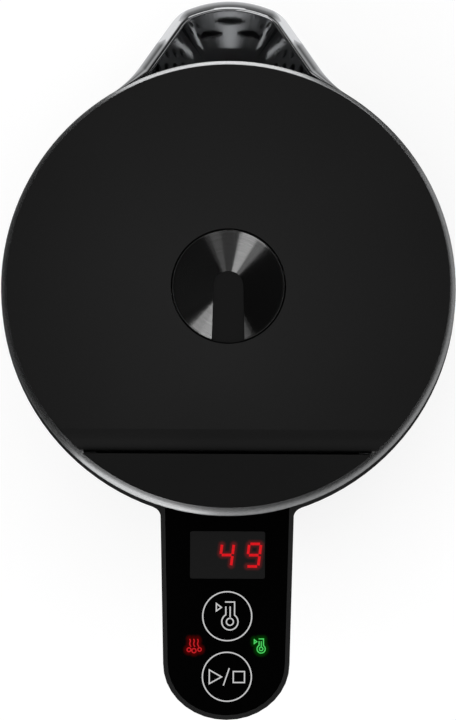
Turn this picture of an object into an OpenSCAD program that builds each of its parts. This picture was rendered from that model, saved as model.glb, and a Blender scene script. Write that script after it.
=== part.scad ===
// Cordless electric kettle on its power base. Millimetres, +Z up. The origin lies on the vertical
// axis of the jug and its connector, at table level. +Y points to the spout, -Y to the handle.

/* [Power base] */
// How far the base shell stays inside the foot of the jug
base_inset = 2; // [1:0.5:5]
// Height of the flat face that the jug stands on
base_h = 18; // [17:0.5:24]
// Wall of the plastic base shell
base_wall = 2.2; // [1.6:0.1:3]
// How far the rubber foot ring stays inside the base shell
foot_inset = 9; // [6:0.5:16]
// Width of the rubber foot ring
foot_w = 8; // [4:0.5:12]
// How far the foot ring stands below the base plate
foot_h = 2.5; // [1:0.1:4]
// Bore of the cord gland
cord_r = 3.2; // [2.5:0.1:4]

/* [Connector] */
// Radius of the round socket boss on the base
socket_r = 17; // [14:0.5:20]
// Height of the socket boss above the jug seat
socket_rise = 12; // [9:0.5:15]
// Wall of the skirt round the jug-side connector
skirt_wall = 2.6; // [2:0.1:4]

/* [Jug] */
// Height of the top of the rim ring above the table
rim_top = 230.8; // [215:0.1:240]
// Outer radius of the steel pot, which the shell, the rim ring and the lid follow
pot_r = 67.6; // [60:0.1:82]
// Distance from the pot to the outside of the outer shell under the rim ring
shell_wall = 4.1; // [3.5:0.1:6]
// How much wider the outer shell is at its foot
shell_flare = 5.3; // [3:0.1:8]
// How far the shell is set back towards the handle
shell_back = 1.9; // [0:0.1:3]
// Sheet thickness of the pot and spout
sheet = 0.8; // [0.5:0.1:1.2]
// Height of the pot floor above the flat face that the jug stands on
pot_lift = 42; // [40:0.5:52]

/* [Rim ring] */
// How far the rim ring stands out past the pot
ring_over = 3.95; // [3.5:0.05:5]
// Height of the rim ring
ring_h = 4.3; // [3:0.1:6]
// How far the ring's outer edge is set back towards the handle
ring_back = 0.6; // [0:0.1:1.5]

/* [Lid] */
// How far the lid and the rear deck stand out past the pot
lid_over = 1.7; // [1:0.1:3]
// Thickness of the lid plate
lid_t = 3.2; // [2.4:0.1:3.2]
// Height of the lid plate above the rim ring
lid_gap = 3.1; // [3:0.1:4]
// Radius of the rounded rear edge, which turns about the hinge
hinge_round = 4; // [3.8:0.1:4.4]
// Depth of the rear deck, from its outer edge to the hinge seam
deck_depth = 17; // [16:0.1:20]
// How far the lid tray that holds the latches stays inside the pot
tray_inset = 7.6; // [5:0.1:12]
// Depth of the lid tray
tray_depth = 17; // [16.5:0.5:22]
// Radius of the press button
button_r = 17.75; // [15:0.25:20]
// Travel of the press button
button_travel = 2.5; // [1.5:0.1:2.5]

/* [Spout] */
// How far the spout tip stands out past the rim ring
spout_out = 18.45; // [12:0.05:26]
// Half width of the spout where it leaves the rim
spout_half = 32.2; // [28:0.5:36]
// Half width of the spout across the corners of its tip
spout_tip_half = 16.2; // [12:0.2:20]
// Width of the rolled lip
lip_w = 3; // [2:0.1:4]
// Height of the beak, from the rim down to where it runs out on the shell
beak_drop = 72.8; // [50:0.1:95]

/* [Handle] */
// How far the handle end stands out past the rim ring
handle_out = 64.8; // [54:0.05:80]
// Half width of the handle at the rim
handle_half = 21; // [18:0.05:24]
// Half width of the handle at its end
handle_end_half = 19.9; // [17:0.1:22]
// Depth of the top arm from the panel down to the finger gap
arm_depth = 26; // [24:0.5:32]
// Thickness of the grip from front to back
grip = 26.5; // [22:0.5:32]
// Half width of the grip
grip_half = 16; // [13:0.5:18]
// Wall of the handle shell
handle_wall = 2.4; // [1.8:0.1:3]
// Width of the bezel frame round the panel
bezel = 1.45; // [1:0.05:2.5]
// Size of the display window along the handle
window_len = 15; // [12:0.5:18]
// Size of the display window across the handle
window_w = 23.7; // [18:0.1:27]

/* [Hidden] */
$fn = 72;

fit = 0.1;        // play of a running or sliding fit
seat = 0.05;      // play between pieces that are assembled and stay put
far = 400;        // longer than anything in the model

// Radii that follow the pot
shell_top_r = pot_r + shell_wall;
shell_foot_r = shell_top_r + shell_flare;
base_r = shell_foot_r - base_inset;
foot_r = base_r - foot_inset;
ring_r = pot_r + ring_over;
lid_r = pot_r + lid_over;
tray_r = pot_r - tray_inset;
seam_back = lid_r - deck_depth;
spout_reach = ring_r + spout_out;
handle_reach = ring_r + handle_out;

// Power base
plate_t = 2;
plate_z = foot_h;
groove = 0.7;                                   // depth of the groove that holds the foot ring
base_edge = 4;                                  // rounding of the base's upper edge
socket_top = base_h + socket_rise;
socket_flange_r = socket_r + 5;
blade_in = [4.4, 5.7];                          // radii of the inner ring blade
blade_out = [10.2, 11.7];                       // radii of the outer ring blade
pin_r = 1.9;
contact_t = 0.6;
groove_deep = 11;
gland_r = cord_r + 2.3;
gland_z = 9;
gland_len = 12;
screw_r = 1.5;
head_r = 3;
head_h = 2;
base_screw_ring = foot_r - foot_w - 12;

// Jug, from the seat upwards
jug_z = base_h;
pot_floor = jug_z + pot_lift;
cover_t = 2;
cover_rim = 2;                                  // height of the standing rim under the cover
cover_top = jug_z + cover_rim + cover_t;
shell_z = jug_z + 0.6;
shell_round = 5;
shell_top = rim_top - ring_h;
shell_bore_top = pot_r + 0.3;
shell_bore_low = shell_foot_r - shell_back - 2;
cover_r = shell_bore_low - fit;
skirt_in = socket_r + 0.6;
skirt_r = skirt_in + skirt_wall;
flange_r = skirt_r + 5;
flange_z = cover_top;
flange_t = 4;
housing_t = 12;                                 // height of the connector body above the socket boss
pot_corner = 7;
plate_heater_t = 4;
plate_heater_r = pot_r - 11.6;
coil_r = plate_heater_r - 14;
coil_wire = 3.5;
coil_z = pot_floor - plate_heater_t - coil_wire;
board_z = cover_top + 8;
board_t = 1.6;

// Lid and hinge
plate_low = rim_top + lid_gap;
lid_top_z = plate_low + lid_t;
hinge_gap = 0.35;
hinge_y = -seam_back + hinge_gap / 2 + hinge_round;
hinge_z = lid_top_z - hinge_round;
hinge_pin_r = 1;
ear_r = 2.4;
relief_r = 2.65;                                // room for ears and springs inside the rounded rear edge
rear_slope_r = 14;                              // large radius that rounds the plate down to the seam
ear_x = [40, 44];                               // span of each fixed ear along the hinge axis
lug_x = [34.5, 39.7];                           // span of each lid lug
coil_x = [27.5, 34];                            // span of each hinge spring
deck_wall = 2;
deck_front = -seam_back - hinge_gap / 2;
shelf_top = hinge_z - hinge_round - 0.7;
shelf_t = 2;
mouth_r = pot_r - sheet;                        // inner radius of the pot mouth
tray_z = plate_low - tray_depth;
tray_wall = 2;
tray_back = hinge_y + 6;                        // rear wall of the tray, just ahead of the hinge
seal_z = tray_z + 9.5;
post_r = 4;
lid_post = [38, 22];
beak_low = rim_top - beak_drop;

// Button and latches
button_gap = 0.3;
button_top = lid_top_z - 0.2;
cap_t = 3.8;
cap_dish = 0.6;                                 // depth of the conical face
tongue_r = 4.8;
tongue_half = 5.2;
latch_t = 2.5;
latch_z = tray_z + tray_wall + button_travel + 1.8;
latch_in = 0.6;                                 // inner side of each latch bar from the centre line
latch_w = 9.8;
leg = [8, 12];                                  // span of each cam leg
leg_y = [3, 8];
leg_tip = latch_z - 1.5;
latch_end = mouth_r - 0.5;
spring_r = 3.4;
spring_wire = 0.4;

// Handle
panel_z = rim_top - 0.3;
frame_h = 3;
panel_t = 1.6;
panel_gap = 0.1;
handle_top = panel_z - frame_h;
arm_low = panel_z - arm_depth;
end_len = 17.7;                                 // length of the half-elliptic handle end
end_y = -(handle_reach - end_len);
gap_back = -(handle_reach - grip - 1.5);
cover_strip = 2.4;
fillet = 3.4;
foot_low = 44;                                  // lower edge of the lower handle foot
gap_low = 92;                                   // lower edge of the finger gap
pcb_z = arm_low + 15;
pcb_t = 1.6;
pcb_half = 15;
pcb_y = [9 - handle_reach, -ring_r - 3.45];
window_y = -ring_r - 12.9;
key_y = [-ring_r - 32.15, -ring_r - 51.2];
key_x = 0.2;
lamp_x = [-10.1, 10.8];
lamp_y = -ring_r - 41.45;
handle_root = -ring_r + 9.55;                   // where the handle's solids start, inside the shell
shell_rear = -shell_top_r - shell_back;         // rear of the shell under the rim ring
half_from = 0.55 - ring_r;                      // where handle_half is measured
ribbon_t = 1.2;
ribbon_w = 8;
cable_z = 66;                                   // height of the cable hole through the shell

// ---------------------------------------------------------------- helpers

function unit(v) = v / norm(v);
function wrap(a) = a > 180 ? a - 360 : (a < -180 ? a + 360 : a);

// One corner p1 of an outline, rounded to radius r with n steps
function corner(p0, p1, p2, r, n = 8) =
    r <= 0 ? [p1] :
    let (u = unit(p0 - p1), v = unit(p2 - p1), half = acos(u * v) / 2,
         c = p1 + unit(u + v) * r / sin(half),
         s = p1 + u * r / tan(half) - c, e = p1 + v * r / tan(half) - c,
         a = atan2(s[1], s[0]), turn = wrap(atan2(e[1], e[0]) - a))
    [for (k = [0:n]) c + r * [cos(a + turn * k / n), sin(a + turn * k / n)]];

// A closed outline with its own rounding radius at each corner
function rounded(p, r) =
    [for (i = [0:len(p) - 1])
        each corner(p[(i + len(p) - 1) % len(p)], p[i], p[(i + 1) % len(p)], r[i])];

// An open path moved sideways by d, with mitred corners
function beside(p, d) =
    [for (i = [0:len(p) - 1])
        let (a = unit(p[max(i, 1)] - p[max(i, 1) - 1]),
             b = unit(p[min(i, len(p) - 2) + 1] - p[min(i, len(p) - 2)]),
             na = [-a[1], a[0]], nb = [-b[1], b[0]], m = unit(na + nb))
        p[i] + m * d / (m * na)];

// A strip of thickness t along an open path with bends of radius r
function strip(p, t, r) =
    let (n = len(p), far_side = beside(p, -t / 2))
    rounded(concat(beside(p, t / 2), [for (i = [n - 1:-1:0]) far_side[i]]),
        [for (i = [0:2 * n - 1]) i % n == 0 || i % n == n - 1 ? 0 : r]);

// A tube swept along computed points that wind about an axis, closed at both ends
module tube(points, r, sides, axis) {
    n = len(points);
    rings = [for (i = [0:n - 1])
        let (t = unit(points[min(i + 1, n - 1)] - points[max(i - 1, 0)]),
             side = unit(cross(t, axis)), up = cross(side, t))
        for (k = [0:sides - 1]) points[i] + r * (cos(360 * k / sides) * side + sin(360 * k / sides) * up)];
    skin = [for (i = [0:n - 2]) for (k = [0:sides - 1]) let (j = (k + 1) % sides)
        [i * sides + k, i * sides + j, (i + 1) * sides + j, (i + 1) * sides + k]];
    polyhedron(rings, concat(skin, [[for (k = [sides - 1:-1:0]) k]],
        [[for (k = [0:sides - 1]) (n - 1) * sides + k]]));
}

// An outline in the Y-Z plane, extruded w across X and centred there
module along_x(w) rotate([90, 0, 90]) translate([0, 0, -w / 2]) linear_extrude(w) children();
// An outline in the X-Z plane, extruded across all of Y
module along_y() rotate([90, 0, 0]) translate([0, 0, -far / 2]) linear_extrude(far) children();
module rod(p, r, h) translate(p) cylinder(r = r, h = h);
module rod_x(x0, x1, y, z, r) translate([x0, y, z]) rotate([0, 90, 0]) cylinder(r = r, h = x1 - x0);
module ring(r0, r1, z0, z1) rotate_extrude() translate([r0, z0]) square([r1 - r0, z1 - z0]);
module block(lo, hi) translate(lo) cube(hi - lo);
module both_sides() for (s = [0, 1]) mirror([s, 0, 0]) children();
module screw(p, shank) {
    rod(p, head_r, head_h);
    rod(p + [0, 0, head_h], screw_r, shank);
}

// ---------------------------------------------------------------- power base

base_screw_at = [for (a = [90, 210, 330]) base_screw_ring * [cos(a), sin(a)]];

module base_top() color("#1b1b1b") difference() {
    rotate_extrude() polygon(rounded(
        [[socket_r + fit, base_h - base_wall], [base_r - base_wall, base_h - base_wall],
         [base_r - base_wall, plate_z], [base_r, plate_z], [base_r, base_h], [socket_r + fit, base_h]],
        [0, base_edge - base_wall, 0, 0, base_edge, 0]));
    // notch for the cord gland
    translate([0, -base_r + gland_len, gland_z]) rotate([90, 0, 0]) cylinder(r = gland_r + seat, h = far);
}

module base_bottom() color("#1b1b1b") difference() {
    union() {
        rod([0, 0, plate_z], base_r - base_wall - seat, plate_t);
        for (p = base_screw_at)
            rod([p[0], p[1], plate_z], post_r, base_h - base_wall - plate_z);
        // saddle under the cord gland
        block([-gland_r, -base_r + base_wall + 1, plate_z], [gland_r, -base_r + gland_len - 3, gland_z]);
    }
    ring(foot_r - foot_w - seat, foot_r + seat, plate_z - 1, plate_z + groove);
    translate([0, -base_r + gland_len, gland_z]) rotate([90, 0, 0]) cylinder(r = gland_r + seat, h = far);
    for (p = base_screw_at) {
        rod([p[0], p[1], plate_z - 1], head_r + seat, head_h + 1);
        rod([p[0], p[1], 0], screw_r, base_h - base_wall - 1);
    }
}

module base_screws() color("silver")
    for (p = base_screw_at) screw([p[0], p[1], plate_z], base_h - base_wall - plate_z - head_h - 1);

module foot_ring() color("#222222") ring(foot_r - foot_w, foot_r, 0, plate_z + groove);

module base_socket() color("#262626") difference() {
    union() {
        rod([0, 0, plate_z + plate_t], socket_r, socket_top - plate_z - plate_t);
        rod([0, 0, plate_z + plate_t], socket_flange_r, base_h - base_wall - plate_z - plate_t);
    }
    rod([0, 0, socket_top - groove_deep], pin_r + fit + contact_t, far);
    for (b = [blade_in, blade_out])
        ring(b[0] - fit, b[1] + fit + contact_t, socket_top - groove_deep, far);
}

module socket_contacts() color("#c9a14a") {
    ring(pin_r + fit, pin_r + fit + contact_t, socket_top - groove_deep, socket_top - 2);
    for (b = [blade_in, blade_out])
        ring(b[1] + fit, b[1] + fit + contact_t, socket_top - groove_deep, socket_top - 2);
}

module cord_gland() color("#202020") translate([0, -base_r + gland_len, gland_z]) rotate([90, 0, 0])
    difference() {
        union() {
            cylinder(r = gland_r, h = gland_len);
            translate([0, 0, gland_len]) cylinder(r = gland_r + 0.8, h = 1.6);
        }
        translate([0, 0, -1]) cylinder(r = cord_r, h = far);
    }

module base_leads() color("#7a4b2a") for (x = [-1.6, 0, 1.6])
    translate([x, -base_r + gland_len + 4, gland_z]) rotate([-90, 0, 0])
        cylinder(r = 0.7, h = base_r - gland_len - 4 - socket_flange_r);

// ---------------------------------------------------------------- connector

module connector_housing() color("#2c2c2c") difference() {
    union() {
        rod([0, 0, jug_z + 1], skirt_r, socket_top - jug_z + housing_t);
        rod([0, 0, flange_z], flange_r, flange_t);
    }
    rod([0, 0, 0], skirt_in, socket_top + fit);
    rod([0, 0, socket_top], pin_r, housing_t - 2);
    for (b = [blade_in, blade_out]) ring(b[0], b[1], socket_top, socket_top + housing_t - 2);
}

module connector_pins() color("#c9a14a") {
    rod([0, 0, socket_top - groove_deep + 1], pin_r, groove_deep + housing_t - 3);
    for (b = [blade_in, blade_out])
        ring(b[0], b[1], socket_top - groove_deep + 1, socket_top + housing_t - 2);
}

// ---------------------------------------------------------------- jug

// Solid of revolution of the outer shell's outside, grown by g
module shell_outside(g = 0) translate([0, -shell_back, 0]) rotate_extrude() polygon(rounded(
    [[0, shell_z - g], [shell_foot_r + g, shell_z - g], [shell_foot_r + g, shell_z + 12],
     [shell_top_r + g, shell_top + 0.01 * g], [0, shell_top + 0.01 * g]], [0, shell_round, 60, 0, 0]));

module shell_bore() rotate_extrude() polygon(
    [[0, 0], [shell_bore_low, 0], [shell_bore_low, shell_z + 12], [shell_bore_top, shell_top - 20],
     [shell_bore_top, far], [0, far]]);

handle_bolt = [for (x = [-9, 9]) [x, arm_low + 7.5], [0, foot_low + 8]];

module outer_shell() color("#151515") difference() {
    shell_outside();
    shell_bore();
    hinge_sweep();
    // window behind the spout
    beak(sheet, 1);
    // cable hole and screw holes of the handle feet
    along_x(ribbon_w + 2) translate([-shell_foot_r - 13, cable_z - 3]) square([40, 6]);
    for (b = handle_bolt) translate([b[0], 0, b[1]]) rotate([90, 0, 0]) {
        cylinder(r = screw_r, h = far);
        cylinder(r = head_r + seat, h = bolt_seat(b[1]) + head_h);
    }
}

// Distance of a handle screw's inner end from the axis, at height z
function bolt_seat(z) = z > shell_top - 20 ? shell_bore_top + 0.4
    : shell_bore_low + (shell_bore_top - shell_bore_low) * (z - shell_z - 12) / (shell_top - shell_z - 32);

module handle_screws() color("silver") for (b = handle_bolt)
    translate([b[0], -bolt_seat(b[1]), b[1]]) rotate([90, 0, 0]) {
        cylinder(r = head_r, h = head_h);
        cylinder(r = screw_r, h = head_h + 12);
    }

strainer_rows = 4;
strainer_columns = 7;
strainer_pitch = 5.7;
strainer_r = 1.7;
flange_out = ring_r - 1.4;

module inner_pot() color("#c8cbcd") difference() {
    union() {
        rotate_extrude() polygon(rounded(
            [[0, pot_floor], [pot_r, pot_floor], [pot_r, shell_top + sheet],
             [mouth_r, shell_top + sheet], [mouth_r, pot_floor + sheet], [0, pot_floor + sheet]],
            [0, pot_corner, 0, 0, pot_corner - sheet, 0]));
        ring(pot_r - sheet / 2, flange_out - 2, shell_top, shell_top + sheet);
    }
    rod([0, 0, 0], 3 + seat, pot_floor + 5);
    hinge_sweep();
    for (i = [0:strainer_rows - 1]) for (j = [0:strainer_columns - 1])
        let (a = (j - (strainer_columns - 1) / 2 + (i % 2) / 2) * strainer_pitch / pot_r * 57.3)
        rotate([0, 0, a]) translate([0, pot_r - 5, shell_top - 5 - i * strainer_pitch * 0.87])
            rotate([-90, 0, 0]) cylinder(r = strainer_r, h = 10);
}

// Room for the lid's rounded rear edge as it turns, under the lid's own outline
module hinge_sweep() intersection() {
    rod_x(-lid_r, lid_r, hinge_y, hinge_z, hinge_round + 0.25);
    rod([0, 0, 0], lid_r + 0.3, far);
}

// The crown of the rim ring: a shallow arc from its flat top down to its outer edge
crown_w = 1.9;
crown_turn = 24;
crown_r = crown_w / sin(crown_turn);

module rim_ring() color("#d9dcde") difference() {
    translate([0, -ring_back, 0]) rotate_extrude() polygon(concat(
        [[60, shell_top], [ring_r - 0.4, shell_top], [ring_r, shell_top + 0.4]],
        [for (a = [crown_turn:-4:0])
            [ring_r - crown_w + crown_r * sin(a), rim_top - crown_r * (1 - cos(a))]],
        [[60, rim_top]]));
    rod([0, 0, 0], mouth_r, far);
    rod([0, 0, 0], flange_out, shell_top + sheet + 0.4);
    hinge_sweep();
}

module rim_seal() color("#3a3a3a") difference() {
    ring(mouth_r + 0.1, flange_out - seat, shell_top + sheet, shell_top + sheet + 0.4);
    hinge_sweep();
}

// Corners of half the spout seen from above: the foot of the flank just outside the rim ring, the
// corner of the tip, and the nose
spout_foot = [spout_half, sqrt(pow(ring_r + 0.3, 2) - pow(spout_half, 2)) - ring_back];
spout_corner = [spout_tip_half, spout_reach - 3.8];
spout_nose = [0, spout_reach + 1.8];

// A half outline that ends on the centre line, carried on to the other side and moved i inwards
function both_halves(p, i) = beside(concat(p, [for (k = [len(p) - 2:-1:0]) [-p[k][0], p[k][1]]]), i);

// The lip, i inside its edge: it leaves the rim ring on a tangent, turns out along straight flanks
// and closes over a broad tip
function lip_outline(i) =
    let (a = atan2(spout_foot[1] + ring_back, spout_half) - acos(ring_r / (ring_r + 0.3)),
         root = [ring_r * cos(a), ring_r * sin(a) - ring_back],
         edge = both_halves([root, spout_foot, spout_corner, spout_nose], i))
    rounded(concat([[edge[0][0], 40]], edge, [[edge[6][0], 40]]),
        [0, 0, 28 + i, 12 - i, 34 - i, 12 - i, 28 + i, 0, 0]);

// The beak's wall, i inside its outer face, with the flanks carried on into the jug
function beak_outline(i) =
    rounded(both_halves([1.3 * spout_foot - 0.3 * spout_corner, spout_corner, spout_nose], i),
        [0, 12 - i, 34 - i, 12 - i, 0]);

// The beak's solid, i inside its outer face, with its top raised by up
module beak(i, up = 0) hull() {
    translate([0, 0, rim_top - 6]) linear_extrude(6 + up) polygon(beak_outline(i));
    translate([0, 0, beak_low + i * 3]) linear_extrude(1)
        polygon([[4 - i, 56], [2 - i, shell_top_r - 1 - i], [-2 + i, shell_top_r - 1 - i], [-4 + i, 56]]);
}

module spout() color("#cfd2d4") difference() {
    union() {
        difference() {
            beak(0);
            beak(sheet, 1);
        }
        translate([0, 0, rim_top - 1.8]) linear_extrude(1.8) difference() {
            polygon(lip_outline(0));
            polygon(lip_outline(lip_w));
        }
    }
    shell_outside(seat, $fn = 360);
    translate([0, -ring_back, 0]) rod([0, 0, shell_top - 1], ring_r + seat, far, $fn = 360);
    block([-far, -far, 0], [far, 40, far]);
}

module heater_plate() color("#9a9da0") difference() {
    rod([0, 0, pot_floor - plate_heater_t], plate_heater_r, plate_heater_t);
    rod([0, 0, 0], 3 + seat, far);
}

coil_gap = 30;                                  // angle left open between the element's ends
module heating_element() color("#8d9093") {
    rotate([0, 0, -90 + coil_gap / 2]) rotate_extrude(angle = 360 - coil_gap)
        translate([coil_r, coil_z]) circle(r = coil_wire);
    for (s = [-1, 1]) rotate([0, 0, -90 + s * coil_gap / 2])
        rod([coil_r, 0, coil_z - 12], coil_wire * 0.7, 12);
}

module boil_dry_cutouts() color("#b8905a") both_sides() {
    rod([20, 0, pot_floor - plate_heater_t - 6], 8, 6);
    rod([20, 0, pot_floor - plate_heater_t - 8], 3, 2);
}

module temperature_sensor() color("#b5b8ba") {
    rod([0, 0, pot_floor - 14], 3, 20);
    rod([0, 0, pot_floor - plate_heater_t - 3], 6, 3);
}

lead_at = coil_r * [sin(coil_gap / 2), -cos(coil_gap / 2)];
relay_w = 11;
relay_x = -lead_at[0] - 3.13 - relay_w;         // clear of the leads
board_y = [-62, -31];
board_half = 1 - relay_x;
board_posts = [for (x = [4 - board_half, board_half - 4], y = [board_y[0] + 4, board_y[1] - 4]) [x, y]];
module power_board() color("#2f6b3c") difference() {
    block([-board_half, board_y[0], board_z], [board_half, board_y[1], board_z + board_t]);
    for (p = board_posts) rod([p[0], p[1], 0], screw_r, far);
}
module power_relay() color("#22262a") translate([relay_x, board_y[0] + 9, board_z + board_t])
    cube([relay_w, 15, 12]);

module heater_leads() color("#7a2b22") both_sides()
    rod([lead_at[0], lead_at[1], board_z + board_t], 1.2, coil_z - 12 - board_z - board_t);

cover_screw_at = [for (a = [45, 135, 225, 315]) (cover_r - 11) * [cos(a), sin(a)]];
module bottom_cover() color("#181818") difference() {
    union() {
        rod([0, 0, jug_z + cover_rim], cover_r, cover_t);
        ring(base_r - base_edge - 8, base_r - base_edge - 0.6, jug_z, jug_z + cover_rim + 1);
        for (p = board_posts) rod([p[0], p[1], cover_top - 1], 3, board_z - cover_top + 1);
        for (p = cover_screw_at) rod([p[0], p[1], cover_top - 1], post_r, 9);
    }
    rod([0, 0, 0], skirt_r + fit, far);
    for (p = cover_screw_at) {
        rod([p[0], p[1], 0], screw_r, cover_top + 7);
        rod([p[0], p[1], 0], head_r + seat, cover_top - cover_t + head_h * 0.4);
    }
}
module bottom_screws() color("silver") for (p = cover_screw_at)
    screw([p[0], p[1], cover_top - cover_t - head_h * 0.6], 8);

// ---------------------------------------------------------------- handle

// The handle seen from above, i inside its edge
function half_at(y) = handle_half + (handle_end_half - handle_half) * (half_from - y) / (half_from - end_y);
function handle_plan(i) = concat(
    [[half_at(handle_root) - i, handle_root]],
    [for (a = [0:-10:-180]) [(handle_end_half - i) * cos(a), end_y + (end_len - i) * sin(a)]],
    [[-half_at(handle_root) + i, handle_root]]);

// The handle seen from the front: wide under the panel, slim at the grip
function handle_front(i) = let (w = handle_half + 6 - i, g = grip_half - i)
    rounded([[w, far], [w, arm_low + 16], [g, arm_low - 46], [g + 1.5, foot_low - 10],
             [-g - 1.5, foot_low - 10], [-g, arm_low - 46], [-w, arm_low + 16], [-w, far]],
            [0, 60, 150, 0, 0, 150, 60, 0]);

// The handle seen from the side, as [y, z]: upright back, then a wide turn in to the lower foot
function handle_side(i) = rounded(
    [[-60, far], [-handle_reach + i, far], [-handle_reach + i, arm_low - 46],
     [-handle_reach + 7 + i, foot_low + i], [-60, foot_low - 4 + i]], [0, 0, 200, 44 - i, 0]);

// The finger gap seen from the side, grown by g
function finger_gap(g) = rounded(
    [[-55, arm_low + g], [gap_back - g, arm_low + g], [gap_back - g, arm_low - 52],
     [gap_back + 6 - g, gap_low - g], [-55, gap_low - 5 - g]], [0, 14 + g, 200, 20 + g, 0]);

module handle_solid(i) intersection() {
    linear_extrude(handle_top) polygon(handle_plan(i));
    along_y() polygon(handle_front(i));
    along_x(100) polygon(handle_side(i));
}

// Small fillets that touch the handle's side and the shell
module handle_fillets() both_sides() translate([0, 0, arm_low]) linear_extrude(handle_top - arm_low)
    let (half = half_at(shell_rear),
         middle = [half + fillet, -sqrt(pow(shell_top_r + fillet, 2) - pow(half + fillet, 2))],
         touch = middle * shell_top_r / norm(middle), back = [0, -shell_back]) difference() {
        polygon([[15, handle_root], [touch[0], handle_root], touch + back, middle + back,
                 [half, middle[1] - shell_back], [15, middle[1] - shell_back]]);
        translate(middle + back) circle(r = fillet);
    }

module handle_shell() color("#161616") difference() {
    union() {
        difference() {
            union() {
                handle_solid(0);
                handle_fillets();
            }
            handle_solid(handle_wall);
        }
        // bulkheads that take the screws of the two handle feet
        intersection() {
            handle_solid(handle_wall / 2);
            union() {
                block([-30, shell_rear - 12.4, arm_low + cover_strip], [30, shell_rear + 7.6, arm_low + 12]);
                block([-30, shell_rear - 18.4, foot_low - 10], [30, shell_rear + 7.6, gap_low - 12]);
            }
        }
    }
    along_x(60) polygon(finger_gap(0));
    intersection() {
        handle_solid(handle_wall);
        along_x(60) polygon(finger_gap(cover_strip));
    }
    shell_outside(seat);
    translate([0, -ring_back, 0]) rod([0, 0, shell_top - 0.5], ring_r + seat, far);
    // cable way through the lower foot
    along_x(ribbon_w + 2) translate([-shell_foot_r - 23, cable_z - 3]) square([50, 6]);
    for (b = handle_bolt) translate([b[0], 0, b[1]]) rotate([90, 0, 0])
        cylinder(r = screw_r, h = bolt_seat(b[1]) + head_h + 12);
}

module handle_inner_cover() color("#141414") {
    difference() {
        intersection() {
            handle_solid(handle_wall + seat);
            along_x(60) difference() {
                polygon(finger_gap(cover_strip - seat));
                polygon(finger_gap(0));
            }
        }
        shell_outside(seat);
    }
    for (x = [-11, 11], y = [pcb_y[0] + 6, pcb_y[1] - 14])
        rod([x, y, arm_low + 1], 2, pcb_z - arm_low - 1);
}

module frame_prism(i, z0, z1) difference() {
    translate([0, 0, z0]) linear_extrude(z1 - z0) polygon(handle_plan(i));
    translate([0, -ring_back, z0 - 1]) cylinder(r = ring_r + seat, h = z1 - z0 + 2);
}

module handle_frame() color("#242424") difference() {
    frame_prism(0, handle_top, panel_z);
    frame_prism(bezel + 2, handle_top - 1, panel_z + 1);
    frame_prism(bezel, panel_z - panel_t - panel_gap, panel_z + 1);
}

// Outline of the display window, g inside its edge
module window_outline(g) translate([key_x, window_y]) polygon(rounded(
    [for (c = [[1, 1], [-1, 1], [-1, -1], [1, -1]]) [c[0] * (window_w / 2 - g), c[1] * (window_len / 2 - g)]],
    [for (k = [0:3]) 0.8 - g]));

module control_panel() color("#050505") difference() {
    frame_prism(bezel + seat, panel_z - panel_t - panel_gap, panel_z - panel_gap);
    linear_extrude(far) window_outline(0);
}

module display_window() color("#1d1d1d") translate([0, 0, panel_z - panel_t - panel_gap])
    linear_extrude(panel_t - 0.05) window_outline(seat);

module display_module() color("#101010") translate([key_x, window_y, 0])
    block([-11, -6.5, pcb_z + pcb_t], [11, 6.5, panel_z - panel_t - panel_gap]);

module control_board() color("#2f6b3c") intersection() {
    block([-pcb_half, pcb_y[0], pcb_z], [pcb_half, pcb_y[1], pcb_z + pcb_t]);
    linear_extrude(far) polygon(handle_plan(handle_wall + 0.4));
}

module touch_springs() color("#c9a14a") for (y = key_y) translate([key_x, y, 0])
    ring(5, 6, pcb_z + pcb_t, panel_z - panel_t - panel_gap);

module indicator_leds() color("#e8e4d8") for (x = lamp_x) translate([x, lamp_y, pcb_z + pcb_t])
    block([-1.5, -1.5, 0], [1.5, 1.5, 1.6]);

module light_pipes() color("#dfe6ea") for (x = lamp_x)
    rod([x, lamp_y, pcb_z + pcb_t + 1.6], 2, panel_z - panel_t - panel_gap - pcb_z - pcb_t - 1.6);

module buzzer() color("#1a1a1a") rod([0, window_y - 9.55, pcb_z - 4], 5, 4);

ribbon_back = grip / 2 - handle_reach;
ribbon_down = -pot_r - 2.8;                     // between the pot and the outer shell
ribbon_path = [[ribbon_back + 14.75, pcb_z - 0.7], [ribbon_back + 1, pcb_z - 0.7],
    [ribbon_back + 3, gap_low + 20], [-shell_foot_r - 15, cable_z], [ribbon_down, cable_z],
    [ribbon_down, board_z + board_t + 3], [board_y[0] - 0.01, board_z + board_t + 3]];
module ribbon_cable() color("#9aa0a6") {
    along_x(ribbon_w) polygon(strip(ribbon_path, ribbon_t, 2.5));
    translate([-ribbon_w / 2 - 1, board_y[0], board_z + board_t]) cube([ribbon_w + 2, 6, 5]);
}

// ---------------------------------------------------------------- hinge and deck

module rear_deck() color("#191919") {
    intersection() {
        rod([0, 0, rim_top], lid_r, lid_top_z - rim_top);
        block([-far, -far, 0], [far, deck_front, far]);
    }
    intersection() {
        rod([0, 0, 0], mouth_r - 0.3, far);
        union() {
            block([-far, deck_front - deck_wall, shelf_top - shelf_t], [far, deck_front, rim_top]);
            block([-far, -far, shelf_top - shelf_t], [far, tray_back - 1.2, shelf_top]);
        }
    }
    both_sides() difference() {
        along_x_from(ear_x) union() {
            circle(r = ear_r);
            polygon([[0.2, 0], [ear_r, 0], [ear_r, shelf_top - hinge_z], [0.2, shelf_top - hinge_z]]);
        }
        rod_x(ear_x[0] - 1, ear_x[1] - 1, hinge_y, hinge_z, hinge_pin_r);
    }
}

// A [y, z] outline about the hinge axis, extruded over a span of X
module along_x_from(span) translate([span[0], hinge_y, hinge_z]) rotate([90, 0, 90])
    linear_extrude(span[1] - span[0]) children();

module hinge_pins() color("silver") both_sides()
    rod_x(coil_x[0] - 1, ear_x[1] - 1, hinge_y, hinge_z, hinge_pin_r);

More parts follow.
